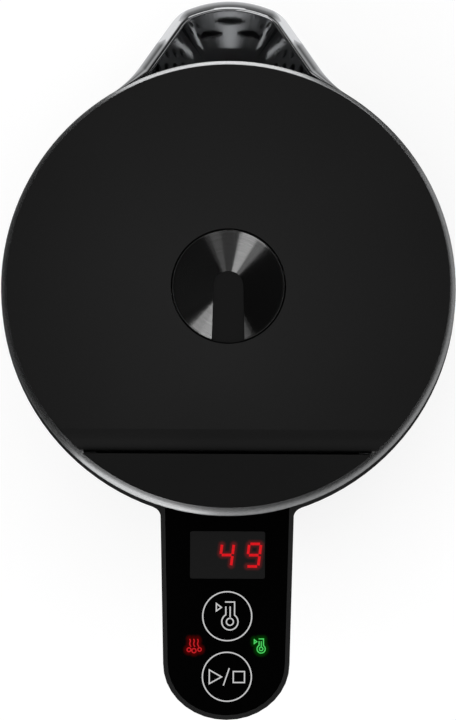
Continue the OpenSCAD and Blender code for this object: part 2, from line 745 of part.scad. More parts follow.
hinge_coil_r = 1.75;
hinge_wire = 0.35;
module hinge_springs() color("silver") both_sides() {
    turns = 6;
    steps = 12;
    span = coil_x[1] - coil_x[0] - 2 * hinge_wire - 0.4;
    tube(concat(
        [[coil_x[0] + 0.6, hinge_y + hinge_coil_r, shelf_top + hinge_wire]],
        [for (k = [0:turns * steps]) [coil_x[0] + 0.6 + span * k / (turns * steps),
            hinge_y + hinge_coil_r * cos(360 * k / steps), hinge_z + hinge_coil_r * sin(360 * k / steps)]],
        [[coil_x[0] + 0.6 + span, tray_back - 0.5, hinge_z + hinge_wire]]),
        hinge_wire, 6, [1, 0, 0]);
}

// ---------------------------------------------------------------- lid

// Section of the lid plate about the hinge axis, as [y, z]: flat ahead, rounded down to the seam behind
module lid_section() {
    rise = plate_low - hinge_z;
    translate([hinge_round - 0.6, rise]) square([far, lid_t]);
    difference() {
        intersection() {
            translate([-hinge_round, 0]) square([2 * hinge_round, hinge_round]);
            translate([hinge_round - 0.6, hinge_round - rear_slope_r]) circle(r = rear_slope_r);
            union() {
                circle(r = hinge_round);
                square(hinge_round);
            }
        }
        translate([0, -1]) square([far, 1 + rise]);
    }
}

module lid_top() color("#191919") difference() {
    union() {
        intersection() {
            rod([0, 0, 0], lid_r, far);
            translate([-far / 2, hinge_y, hinge_z]) rotate([90, 0, 90]) linear_extrude(far) lid_section();
        }
        // edge that hangs down to just above the rim ring
        intersection() {
            ring(lid_r - 5.3, lid_r - 0.3, rim_top + 0.3, plate_low + 0.5);
            block([-far, hinge_y + 2 * hinge_round, 0], [far, far, far]);
        }
        both_sides() along_x_from(lug_x) union() {
            circle(r = ear_r);
            translate([-ear_r, 0]) square([2 * ear_r, plate_low - hinge_z + 0.5]);
        }
        // collar that guides the button
        ring(button_r + button_gap, button_r + button_gap + 1.8, tray_z + 12.5, plate_low + 0.5);
    }
    rod([0, 0, 0], button_r + button_gap, far);
    both_sides() {
        rod_x(lug_x[0] - 1, lug_x[1] + 1, hinge_y, hinge_z, hinge_pin_r + 0.05);
        rod_x(0, lug_x[0], hinge_y, hinge_z, relief_r);
        rod_x(lug_x[1], lid_r, hinge_y, hinge_z, relief_r);
    }
    for (x = [-1, 1], y = [-1, 1])
        rod([x * lid_post[0], y * lid_post[1], 0], screw_r, plate_low + 2);
}

module tray_area(r, inset) intersection() {
    circle(r = r);
    translate([-far / 2, tray_back + inset]) square([far, far]);
}

module lid_underside() color("#202224") difference() {
    union() {
        difference() {
            translate([0, 0, tray_z]) linear_extrude(tray_depth) tray_area(tray_r, 0);
            translate([0, 0, tray_z + tray_wall]) linear_extrude(far)
                tray_area(tray_r - tray_wall, tray_wall);
        }
        for (x = [-1, 1], y = [-1, 1])
            rod([x * lid_post[0], y * lid_post[1], tray_z], post_r, tray_depth);
        // post that carries the button spring, and the two latch guides
        rod([0, 0, tray_z], spring_r - spring_wire - 0.4, 12);
        for (x = [-32, 32]) block([x - 1, -11, tray_z], [x + 1, 11, latch_z - fit]);
    }
    for (s = [0, 180]) rotate([0, 0, s])
        block([tray_r - tray_wall - 2, latch_in - fit, latch_z - fit],
              [tray_r + 2, latch_in + latch_w + fit, latch_z + latch_t + fit]);
    for (x = [-1, 1], y = [-1, 1]) {
        rod([x * lid_post[0], y * lid_post[1], 0], screw_r, far);
        rod([x * lid_post[0], y * lid_post[1], 0], head_r + seat, tray_z + head_h + 0.6);
    }
}

module lid_seal() color("#4a4a4a") intersection() {
    rotate_extrude() polygon([[tray_r, seal_z], [tray_r + 2, seal_z], [mouth_r - 0.35, seal_z + 1.6],
        [mouth_r - 0.35, seal_z + 2.4], [tray_r + 2, seal_z + 2.2], [tray_r, seal_z + 2.6]]);
    block([-far, tray_back, 0], [far, far, far]);
}

module lid_screws() color("silver") for (x = [-1, 1], y = [-1, 1])
    screw([x * lid_post[0], y * lid_post[1], tray_z + 0.6], plate_low + 2 - tray_z - 0.6 - head_h);

// One latch bar, drawn for the +X side. Its window's inner edge is a 45-degree cam face.
module latch() intersection() {
    rod([0, 0, 0], latch_end, far);
    difference() {
        block([6.5, latch_in, latch_z], [latch_end + 2, latch_in + latch_w, latch_z + latch_t]);
        translate([0, leg_y[1] + 0.3, 0]) rotate([90, 0, 0]) linear_extrude(leg_y[1] - leg_y[0] + 0.6)
            polygon([[leg[1] - (latch_z - leg_tip) - fit * 1.5, latch_z],
                     [leg[1] - (latch_z - leg_tip) - latch_t - fit * 1.5, latch_z + latch_t],
                     [leg[1] + button_travel + 0.4, latch_z + latch_t],
                     [leg[1] + button_travel + 0.4, latch_z]]);
    }
}
module latch_right() color("#d8d8d4") latch();
module latch_left() color("#d8d8d4") rotate([0, 0, 180]) latch();

module press_button() color("#101010") {
    difference() {
        rotate_extrude() polygon([[0, button_top - cap_t], [button_r - 1.8, button_top - cap_t],
            [button_r - 1.8, plate_low - 3.5], [button_r, plate_low - 3.5], [button_r, button_top - 0.3],
            [button_r - 0.4, button_top], [button_r - 0.9, button_top], [0, button_top - cap_dish]]);
        // flat tongue: a level-bottomed groove from beside the centre out to the lower edge
        translate([0, 0, button_top - cap_dish]) linear_extrude(far) polygon(concat(
            [[tongue_half, -button_r - 1]],
            [for (a = [0:15:180]) [(tongue_r - 0.1) * cos(a), tongue_r * sin(a)]],
            [[-tongue_half, -button_r - 1]]));
    }
    // sleeve round the spring
    ring(5.7, 7.4, latch_z + latch_t + button_travel + 0.4, button_top - cap_t);
    for (s = [0, 180]) rotate([0, 0, s]) translate([0, leg_y[1], 0]) rotate([90, 0, 0])
        linear_extrude(leg_y[1] - leg_y[0])
            polygon([[leg[1], leg_tip], [leg[0], leg_tip + leg[1] - leg[0]],
                     [leg[0], button_top - cap_t], [leg[1], button_top - cap_t]]);
}

module button_spring() color("silver") {
    turns = 6;
    steps = 14;
    low = tray_z + tray_wall + spring_wire;
    high = button_top - cap_t - spring_wire;
    tube([for (k = [0:turns * steps]) [spring_r * cos(360 * k / steps), spring_r * sin(360 * k / steps),
        low + (high - low) * k / (turns * steps)]], spring_wire, 6, [0, 0, 1]);
}

base_top();
base_bottom();
base_socket();
socket_contacts();
foot_ring();
base_screws();
cord_gland();
base_leads();
connector_housing();
connector_pins();
outer_shell();
inner_pot();
rim_ring();
rim_seal();
spout();
heater_plate();
heating_element();
boil_dry_cutouts();
temperature_sensor();
power_board();
power_relay();
heater_leads();
bottom_cover();
bottom_screws();
handle_shell();
handle_inner_cover();
handle_frame();
control_panel();
display_window();
display_module();
control_board();
touch_springs();
indicator_leds();
light_pipes();
buzzer();
ribbon_cable();
handle_screws();
rear_deck();
hinge_pins();
hinge_springs();
lid_top();
lid_underside();
lid_seal();
lid_screws();
latch_left();
latch_right();
press_button();
button_spring();
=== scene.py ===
"""Finishes, prints, studio and camera for a cordless electric kettle.

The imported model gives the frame: each piece takes its place and its main sizes from the nodes. The
script is laid out as an add-on and run as a script.
"""
import math

import bpy
import numpy as np
from bpy.props import FloatProperty, FloatVectorProperty, IntProperty, PointerProperty
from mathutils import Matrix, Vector


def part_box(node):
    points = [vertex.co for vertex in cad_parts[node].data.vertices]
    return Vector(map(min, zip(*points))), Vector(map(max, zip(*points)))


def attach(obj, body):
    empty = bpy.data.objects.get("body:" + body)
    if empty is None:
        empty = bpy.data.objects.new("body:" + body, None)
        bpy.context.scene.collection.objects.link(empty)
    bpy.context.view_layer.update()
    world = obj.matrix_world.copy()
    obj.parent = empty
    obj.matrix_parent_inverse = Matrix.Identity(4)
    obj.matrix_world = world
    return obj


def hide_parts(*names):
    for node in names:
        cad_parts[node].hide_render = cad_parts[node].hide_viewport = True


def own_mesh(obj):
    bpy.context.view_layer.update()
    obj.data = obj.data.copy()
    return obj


bl_info = {
    "name": "Electric kettle",
    "version": (1, 0, 0),
    "blender": (4, 5, 0),
    "location": "View3D > Sidebar > Kettle",
    "description": "Finishes, prints and studio of a cordless electric kettle",
    "category": "Object",
}

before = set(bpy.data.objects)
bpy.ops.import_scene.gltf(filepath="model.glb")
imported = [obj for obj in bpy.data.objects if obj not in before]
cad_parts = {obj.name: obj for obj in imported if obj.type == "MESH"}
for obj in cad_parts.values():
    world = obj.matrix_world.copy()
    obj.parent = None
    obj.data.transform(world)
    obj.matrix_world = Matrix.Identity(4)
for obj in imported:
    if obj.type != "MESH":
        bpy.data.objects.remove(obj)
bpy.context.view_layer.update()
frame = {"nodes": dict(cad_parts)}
MM = 0.001
NODES = frame["nodes"]
# radius at which the length of a polishing line is true
RIM_RADIUS = 70 * MM
# black acrylic of the touch panel, and the smoked window in it
ACRYLIC, SMOKED = "#020202", "#191919"


def linear(code):
    """An sRGB hex colour as linear red, green, blue. A colour setting is linear already."""
    if not isinstance(code, str):
        return tuple(code)
    part = np.array([int(code[k:k + 2], 16) for k in (1, 3, 5)]) / 255
    return tuple(np.where(part <= 0.04045, part / 12.92, ((part + 0.055) / 1.055) ** 2.4))


def add(tree, kind, settings=None, inputs=None):
    """Adds a node, sets its properties, and sets or links its inputs."""
    made = tree.nodes.new(kind)
    for name, value in (settings or {}).items():
        setattr(made, name, value)
    for name, value in (inputs or {}).items():
        if isinstance(value, bpy.types.NodeSocket):
            tree.links.new(value, made.inputs[name])
        else:
            made.inputs[name].default_value = value
    return made


# ------------------------------------------------------------------ finishes


def blank(name):
    """An empty node material with its output, and the object coordinates in metres."""
    material = bpy.data.materials.new(name)
    material.use_nodes = True
    tree = material.node_tree
    tree.nodes.clear()
    output = add(tree, "ShaderNodeOutputMaterial")
    where = add(tree, "ShaderNodeTexCoord").outputs["Object"]
    return material, tree, output, where


def moulded(name, code, roughness, grain, depth, level=0.5):
    """Injection-moulded plastic with a spark-eroded grain: a soft, even sheen with no sharp
    reflections. grain is the size of its pits in millimetres and depth their depth. Baked paint,
    rubber and laminate have a skin of the same kind. The pits are drawn coarser than real ones, so
    that they show."""
    material, tree, output, where = blank(name)
    pits = add(tree, "ShaderNodeTexNoise", None,
               {"Vector": where, "Scale": 1 / (grain * MM), "Detail": 2, "Roughness": 0.6})
    # a slight change of shade over some 45 mm, as the plastic flowed into its mould
    flow = add(tree, "ShaderNodeTexNoise", None, {"Vector": where, "Scale": 1 / (45 * MM), "Detail": 1})
    shade = add(tree, "ShaderNodeMapRange", None,
                {"Value": flow.outputs["Fac"], "From Min": 0.3, "From Max": 0.7,
                 "To Min": 0.94, "To Max": 1.06})
    colour = add(tree, "ShaderNodeVectorMath", {"operation": "SCALE"},
                 {0: linear(code), "Scale": shade.outputs["Result"]})
    rough = add(tree, "ShaderNodeMapRange", None,
                {"Value": pits.outputs["Fac"], "To Min": roughness - 0.05, "To Max": roughness + 0.05})
    bump = add(tree, "ShaderNodeBump", None,
               {"Height": pits.outputs["Fac"], "Strength": 0.5, "Distance": depth * MM})
    shader = add(tree, "ShaderNodeBsdfPrincipled", None,
                 {"Base Color": colour.outputs["Vector"], "Roughness": rough.outputs["Result"],
                  "Specular IOR Level": level, "Normal": bump.outputs["Normal"]})
    tree.links.new(shader.outputs[0], output.inputs[0])
    return material


def around_axis(tree, where, across, along):
    """A noise drawn out round the vertical axis, as polishing leaves it: across is the width of
    its lines in millimetres, and along is their length at the rim."""
    split = add(tree, "ShaderNodeSeparateXYZ", None, {0: where})
    flat = add(tree, "ShaderNodeCombineXYZ", None, {"X": split.outputs["X"], "Y": split.outputs["Y"]})
    radius = add(tree, "ShaderNodeVectorMath", {"operation": "LENGTH"}, {0: flat.outputs[0]})
    turn = add(tree, "ShaderNodeMath", {"operation": "ARCTAN2"},
               {0: split.outputs["Y"], 1: split.outputs["X"]})
    lines = add(tree, "ShaderNodeCombineXYZ", None, {
        "X": radius.outputs["Value"], "Z": split.outputs["Z"],
        "Y": add(tree, "ShaderNodeMath", {"operation": "MULTIPLY"},
                 {0: turn.outputs[0], 1: RIM_RADIUS * across / along}).outputs[0]})
    return add(tree, "ShaderNodeTexNoise", None,
               {"Vector": lines.outputs[0], "Scale": 1 / (across * MM), "Detail": 2})


def polished_steel(name, code, roughness, spread):
    """Polished stainless steel: mirror-bright, with faint lines from polishing round the axis that
    soften its reflections. They are drawn 0.3 mm wide, coarser than real ones, so that they show."""
    material, tree, output, where = blank(name)
    lines = around_axis(tree, where, 0.3, 25)
    rough = add(tree, "ShaderNodeMapRange", None,
                {"Value": lines.outputs["Fac"], "From Min": 0.3, "From Max": 0.7,
                 "To Min": roughness, "To Max": roughness + spread})
    bump = add(tree, "ShaderNodeBump", None,
               {"Height": lines.outputs["Fac"], "Strength": 0.15, "Distance": 0.002 * MM})
    shader = add(tree, "ShaderNodeBsdfPrincipled", None,
                 {"Base Color": (*linear(code), 1), "Metallic": 1.0, "Roughness": rough.outputs["Result"],
                  "Normal": bump.outputs["Normal"]})
    tree.links.new(shader.outputs[0], output.inputs[0])
    return material


def turned_steel(name, code, roughness):
    """Stainless steel polished on a lathe: its rings stretch each reflection away from the axis.
    They are drawn as wide as the spout's lines."""
    material, tree, output, where = blank(name)
    lines = around_axis(tree, where, 0.3, 25)
    rough = add(tree, "ShaderNodeMapRange", None,
                {"Value": lines.outputs["Fac"], "From Min": 0.3, "From Max": 0.7,
                 "To Min": roughness - 0.03, "To Max": roughness + 0.03})
    shader = add(tree, "ShaderNodeBsdfPrincipled", None,
                 {"Base Color": (*linear(code), 1), "Metallic": 1.0, "Roughness": rough.outputs["Result"],
                  "Anisotropic": 0.9, "Tangent": radial(tree, where)})
    tree.links.new(shader.outputs[0], output.inputs[0])
    return material


def plain_metal(name, code, roughness, grain, metallic=1.0):
    """Plated, drawn or blasted metal: bright, with a cloudy, uneven sheen. A blasted skin scatters
    part of the light and is less metallic."""
    material, tree, output, where = blank(name)
    cloud = add(tree, "ShaderNodeTexNoise", None, {"Vector": where, "Scale": 1 / (grain * MM), "Detail": 3})
    rough = add(tree, "ShaderNodeMapRange", None,
                {"Value": cloud.outputs["Fac"], "To Min": roughness - 0.08, "To Max": roughness + 0.08})
    shader = add(tree, "ShaderNodeBsdfPrincipled", None,
                 {"Base Color": (*linear(code), 1), "Metallic": metallic,
                  "Roughness": rough.outputs["Result"]})
    tree.links.new(shader.outputs[0], output.inputs[0])
    return material


def radial(tree, where):
    """The direction away from the vertical axis, as it stands in the world."""
    flat = add(tree, "ShaderNodeVectorMath", {"operation": "MULTIPLY"}, {0: where, 1: (1, 1, 0)})
    return add(tree, "ShaderNodeVectorTransform",
               {"vector_type": "VECTOR", "convert_from": "OBJECT", "convert_to": "WORLD"},
               {0: flat.outputs[0]}).outputs[0]


def spun_cap(name, tongue):
    """Black anodised aluminium cap with a spun face: rings finer than the eye sees spread every
    light into a wedge from the centre to the rim. The sunk tongue, whose floor lies at the height
    tongue, is left satin black, and so shows an even dark grey."""
    material, tree, output, where = blank(name)
    # drawn 0.35 mm wide, so that they show
    rings = around_axis(tree, where, 0.35, 60)
    bright = add(tree, "ShaderNodeMapRange", None,
                 {"Value": rings.outputs["Fac"], "From Min": 0.3, "From Max": 0.7,
                  "To Min": 0.52, "To Max": 0.62})
    along = add(tree, "ShaderNodeVectorMath", {"operation": "CROSS_PRODUCT"},
                {0: (0, 0, 1), 1: radial(tree, where)})
    gloss = add(tree, "ShaderNodeBsdfAnisotropic", {"distribution": "BECKMANN"},
                {"Color": bright.outputs["Result"], "Roughness": 0.1285, "Anisotropy": 0.85,
                 "Tangent": along.outputs[0]})
    grain = add(tree, "ShaderNodeTexNoise", None,
                {"Vector": where, "Scale": 1 / (0.3 * MM), "Detail": 2})
    rough = add(tree, "ShaderNodeMapRange", None,
                {"Value": grain.outputs["Fac"], "To Min": 0.55, "To Max": 0.65})
    satin = add(tree, "ShaderNodeBsdfPrincipled", None,
                {"Base Color": (*linear("#101010"), 1), "Roughness": rough.outputs["Result"],
                 "Specular IOR Level": 0.2})
    height = add(tree, "ShaderNodeSeparateXYZ", None, {0: where}).outputs["Z"]
    above = add(tree, "ShaderNodeMath", {"operation": "GREATER_THAN"},
                {0: height, 1: tongue + 0.1 * MM})
    mix = add(tree, "ShaderNodeMixShader", None,
              {"Fac": above.outputs[0], 1: satin.outputs[0], 2: gloss.outputs[0]})
    tree.links.new(mix.outputs[0], output.inputs[0])
    return material


def panel_glass(name, code, level, roughness):
    """Acrylic panel, polished and backed with black: flat, deep black and glossy, with a film
    that is hardly seen."""
    material, tree, output, where = blank(name)
    film = add(tree, "ShaderNodeTexNoise", None, {"Vector": where, "Scale": 1 / (14 * MM), "Detail": 2})
    rough = add(tree, "ShaderNodeMapRange", None,
                {"Value": film.outputs["Fac"], "To Min": roughness, "To Max": roughness + 0.03})
    shader = add(tree, "ShaderNodeBsdfPrincipled", None,
                 {"Base Color": (*linear(code), 1), "Roughness": rough.outputs["Result"],
                  "Specular IOR Level": level})
    tree.links.new(shader.outputs[0], output.inputs[0])
    return material


def ink(name, code):
    """Screen-printed ink: flat and matt, a little uneven in its dots."""
    material, tree, output, where = blank(name)
    dots = add(tree, "ShaderNodeTexNoise", None, {"Vector": where, "Scale": 1 / (0.12 * MM), "Detail": 1})
    shade = add(tree, "ShaderNodeMapRange", None,
                {"Value": dots.outputs["Fac"], "To Min": 0.92, "To Max": 1.04})
    colour = add(tree, "ShaderNodeVectorMath", {"operation": "SCALE"},
                 {0: linear(code), "Scale": shade.outputs["Result"]})
    shader = add(tree, "ShaderNodeBsdfPrincipled", None,
                 {"Base Color": colour.outputs["Vector"], "Roughness": 0.7, "Specular IOR Level": 0.2})
    tree.links.new(shader.outputs[0], output.inputs[0])
    return material


def lit(name, code, strength):
    """Light-emitting segments seen through smoked acrylic: an even glow of their own."""
    material, tree, output, where = blank(name)
    cells = add(tree, "ShaderNodeTexNoise", None, {"Vector": where, "Scale": 1 / (0.8 * MM), "Detail": 0})
    power = add(tree, "ShaderNodeMapRange", None,
                {"Value": cells.outputs["Fac"], "To Min": strength * 0.85, "To Max": strength * 1.15})
    shader = add(tree, "ShaderNodeBsdfPrincipled", None,
                 {"Base Color": (0.001, 0.001, 0.001, 1), "Roughness": 0.4, "Specular IOR Level": 0.1,
                  "Emission Color": (*linear(code), 1), "Emission Strength": power.outputs["Result"]})
    tree.links.new(shader.outputs[0], output.inputs[0])
    return material


def halo(name, base, code, strength, level):
    """Smoked acrylic round lit segments: their light fades out between 0.2 and 1.7 mm from the
    nearest stroke. The mesh carries that distance."""
    material, tree, output, where = blank(name)
    away = add(tree, "ShaderNodeAttribute", {"attribute_name": "away"})
    fade = add(tree, "ShaderNodeMapRange", {"interpolation_type": "SMOOTHERSTEP"},
               {"Value": away.outputs["Fac"], "From Min": 1.7, "From Max": 0.2,
                "To Min": 0.0, "To Max": strength})
    shader = add(tree, "ShaderNodeBsdfPrincipled", None,
                 {"Base Color": (*linear(base), 1), "Roughness": 0.12, "Specular IOR Level": level,
                  "Emission Color": (*linear(code), 1), "Emission Strength": fade.outputs["Result"]})
    tree.links.new(shader.outputs[0], output.inputs[0])
    return material


def dress(material, *nodes):
    """Puts one finish on CAD nodes."""
    for name in nodes:
        slots = NODES[name].data.materials
        slots.clear()
        slots.append(material)


# ------------------------------------------------------------------ strokes


def stroke(points, width, closed=False):
    """A flat line of even width through points: each point moves half the width to both sides
    along the mean normal of its two legs, so corners are mitred. Returns corners and faces."""
    p = np.asarray(points, float)
    ahead = np.roll(p, -1, 0) - p
    if not closed:
        ahead[-1] = ahead[-2]
    ahead /= np.linalg.norm(ahead, axis=1)[:, None]
    behind = np.roll(ahead, 1, 0)
    if not closed:
        behind[0] = ahead[0]
    normal = np.stack([-ahead[:, 1] - behind[:, 1], ahead[:, 0] + behind[:, 0]], 1)
    normal /= (normal ** 2).sum(1)[:, None] / 2
    corners = np.concatenate([p + normal * width / 2, p - normal * width / 2])
    n = len(p)
    k = np.arange(n if closed else n - 1)
    j = (k + 1) % n
    return corners, np.stack([k, k + n, j + n, j], 1)


def arc(centre, radius, start, end, steps):
    """Points along a circle from one angle to another, in degrees."""
    a = np.radians(np.linspace(start, end, steps))
    return np.asarray(centre) + radius * np.stack([np.cos(a), np.sin(a)], 1)


def circle(centre, radius, steps=72):
    """Points round a whole circle, the first not repeated."""
    return arc(centre, radius, 0, 360, steps + 1)[:-1]


def thermometer(size):
    """Strokes of the thermometer sign, with the radius of its bulb as size: a bulb open at the top
    that runs into two stems and a top bar, an inner ring with its column, and a small triangle
    beside it. Returns (points, closed) pairs."""
    bulb, inner = np.array([0.333, -0.69]), 0.431
    left, right, stem, bar = -0.173, 0.902, 1.208, 1.753
    turn = [math.degrees(math.acos(x - bulb[0])) for x in (right, left)]
    body = np.concatenate([[[left, stem]], arc(bulb, 1, turn[1], 360 + turn[0], 40),
                           [[right, bar], [-0.282, bar]]])
    column = [[0.357, stem], [0.357, bulb[1] + inner]]
    pointer = [[-1.345, 1.553], [-1.345, 0.643], [-0.729, 1.086]]
    return [(np.asarray(line) * size, closed) for line, closed in
            ((body, False), (circle(bulb, inner, 32), True), (column, False), (pointer, True))]


def start_stop():
    """Strokes of the start and stop sign in millimetres: triangle, slash and square."""
    return [(np.array([[-5.54, 2.12], [-5.54, -2.2], [-1.69, -0.04]]), True),
            (np.array([[0.73, 2.7], [-1.10, -2.76]]), False),
            (np.array([[2.01, 1.67], [2.01, -1.79], [5.54, -1.79], [5.54, 1.67]]), True)]


def heat():
    """Strokes of the heating sign in millimetres: three rising waves, each a sine that drifts to one
    side, over three small rings."""
    v = np.linspace(0, 1, 19)
    wave = np.stack([0.32 * v + 0.15 * np.sin(7.2 * v), 2.1 - 2.5 * v], 1)
    waves = [(wave + (x, 0), False) for x in (-1.38, -0.16, 1.08)]
    rings = [(circle((x, y), r, 24), True)
             for x, y, r in ((-1.57, -1.3, 0.6), (0, -1.6, 0.66), (1.76, -1.2, 0.55))]
    return waves + rings


def digit(lit_bars, width, half, lean, gap):
    """Bars of one seven-segment figure as (points, closed) pairs. Bars a to g lie on a leaning
    rectangle of the given width and half height, and stop short of its corners by gap."""
    x, h = width / 2, half
    ends = {"a": ((-x, h), (x, h)), "b": ((x, h), (x, 0)), "c": ((x, 0), (x, -h)), "d": ((-x, -h), (x, -h)),
            "e": ((-x, 0), (-x, -h)), "f": ((-x, h), (-x, 0)), "g": ((-x, 0), (x, 0))}
    bars = []
    for name in lit_bars:
        p, q = (np.array(e) for e in ends[name])
        step = (q - p) / np.linalg.norm(q - p) * gap
        line = np.array([p + step, q - step])
        line[:, 0] += lean * line[:, 1]
        bars.append((line, False))
    return bars


def to_mesh(name, corners, faces, material, body):
    """Makes a mesh piece from millimetre corners and faces, and lets it ride on a body."""
    mesh = bpy.data.meshes.new(name)
    mesh.from_pydata(np.asarray(corners) * MM, [], faces if isinstance(faces, list) else faces.tolist())
    mesh.update()
    piece = bpy.data.objects.new(name, mesh)
    bpy.context.scene.collection.objects.link(piece)
    piece.data.materials.append(material)
    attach(piece, body)
    return piece


def print_strokes(name, strokes, centre, height, width, material, body):
    """A print: all strokes as one flat mesh at a height in millimetres, facing up."""
    corners, faces, total = [], [], 0
    for points, closed in strokes:
        edges, quads = stroke(points, width, closed)
        corners.append(edges)
        faces.append(quads + total)
        total += len(edges)
    flat = np.concatenate(corners) + np.asarray(centre)
    up = np.full((len(flat), 1), height)
    quads = np.concatenate(faces)
    a, b, d = (flat[quads[:, k]] for k in (0, 1, 3))
    over = (b - a)[:, 0] * (d - a)[:, 1] - (b - a)[:, 1] * (d - a)[:, 0] < 0
    quads[over] = quads[over][:, ::-1]
    return to_mesh(name, np.hstack([flat, up]), quads, material, body)


def glow_patch(name, strokes, centre, size, step, height, material, body):
    """A flat grid over lit segments. Each of its points carries the distance to the nearest stroke:
    to its foot on each leg of each stroke, p + t (q - p) with t held between nought and one."""
    nx, ny = (int(s / step) + 1 for s in size)
    x, y = np.meshgrid(np.linspace(-size[0] / 2, size[0] / 2, nx),
                       np.linspace(-size[1] / 2, size[1] / 2, ny))
    at = np.stack([x.ravel(), y.ravel()], 1)
    away = np.full(len(at), 1e3)
    for points, closed in strokes:
        p = np.asarray(points, float)
        q = np.roll(p, -1, 0)
        if not closed:
            p, q = p[:-1], q[:-1]
        leg = q - p
        t = ((at[:, None] - p) * leg).sum(2) / (leg ** 2).sum(1)
        near = p + np.clip(t, 0, 1)[..., None] * leg
        away = np.minimum(away, np.linalg.norm(at[:, None] - near, axis=2).min(1))
    k = (np.arange(ny - 1)[:, None] * nx + np.arange(nx - 1)).ravel()
    corners = np.hstack([at + np.asarray(centre), np.full((len(at), 1), height)])
    piece = to_mesh(name, corners, np.stack([k, k + 1, k + nx + 1, k + nx], 1), material, body)
    piece.data.attributes.new("away", "FLOAT", "POINT").data.foreach_set("value", away.astype(np.float32))
    return piece


def rounded_path(points, radii, steps=16):
    """An open path whose inner corners are arcs of the given radii that touch both legs."""
    p = np.asarray(points, float)
    out = [p[:1]]
    for a, b, c, r in zip(p[:-2], p[1:-1], p[2:], radii):
        u, v = (a - b) / np.linalg.norm(a - b), (c - b) / np.linalg.norm(c - b)
        half = math.acos(u @ v) / 2
        centre = b + (u + v) / np.linalg.norm(u + v) * r / math.sin(half)
        start, end = b + u * r / math.tan(half) - centre, b + v * r / math.tan(half) - centre
        turn = math.atan2(start[0] * end[1] - start[1] * end[0], start @ end)
        at = math.atan2(start[1], start[0]) + np.linspace(0, 1, steps) * turn
        out.append(centre + r * np.stack([np.cos(at), np.sin(at)], 1))
    out.append(p[-1:])
    return np.concatenate(out)


def evenly(path, count):
    """The path again, as count points at equal distances along it."""
    gone = np.concatenate([[0], np.cumsum(np.linalg.norm(np.diff(path, axis=0), axis=1))])
    at = np.linspace(0, gone[-1], count)
    return np.stack([np.interp(at, gone, path[:, k]) for k in (0, 1)], 1)


def lip_plan(reach, ring_r, middle_y):
    """The outer edge of the spout's lip from above, in millimetres, as points at equal distances
    from one side of the rim to the other. It leaves the ring at a tangent, runs straight along each
    flank to a corner, and meets in a low nose; arcs round every bend."""
    foot_half, corner_half, corner_back, nose_ahead = 32.2, 16.2, 3.62, 1.98
    clear = ring_r + 0.3
    foot = np.array([foot_half, math.sqrt(clear ** 2 - foot_half ** 2) + middle_y])
    corner, nose = np.array([corner_half, reach - corner_back]), np.array([0, reach + nose_ahead])
    turn = math.atan2(foot[1] - middle_y, foot[0]) - math.acos(ring_r / clear)
    root = np.array([ring_r * math.cos(turn), ring_r * math.sin(turn) + middle_y])
    flip = np.array([-1, 1])
    path = rounded_path([root * flip, foot * flip, corner * flip, nose, corner, foot, root],
                        (28, 12, 34, 12, 28))
    return evenly(path, 281)


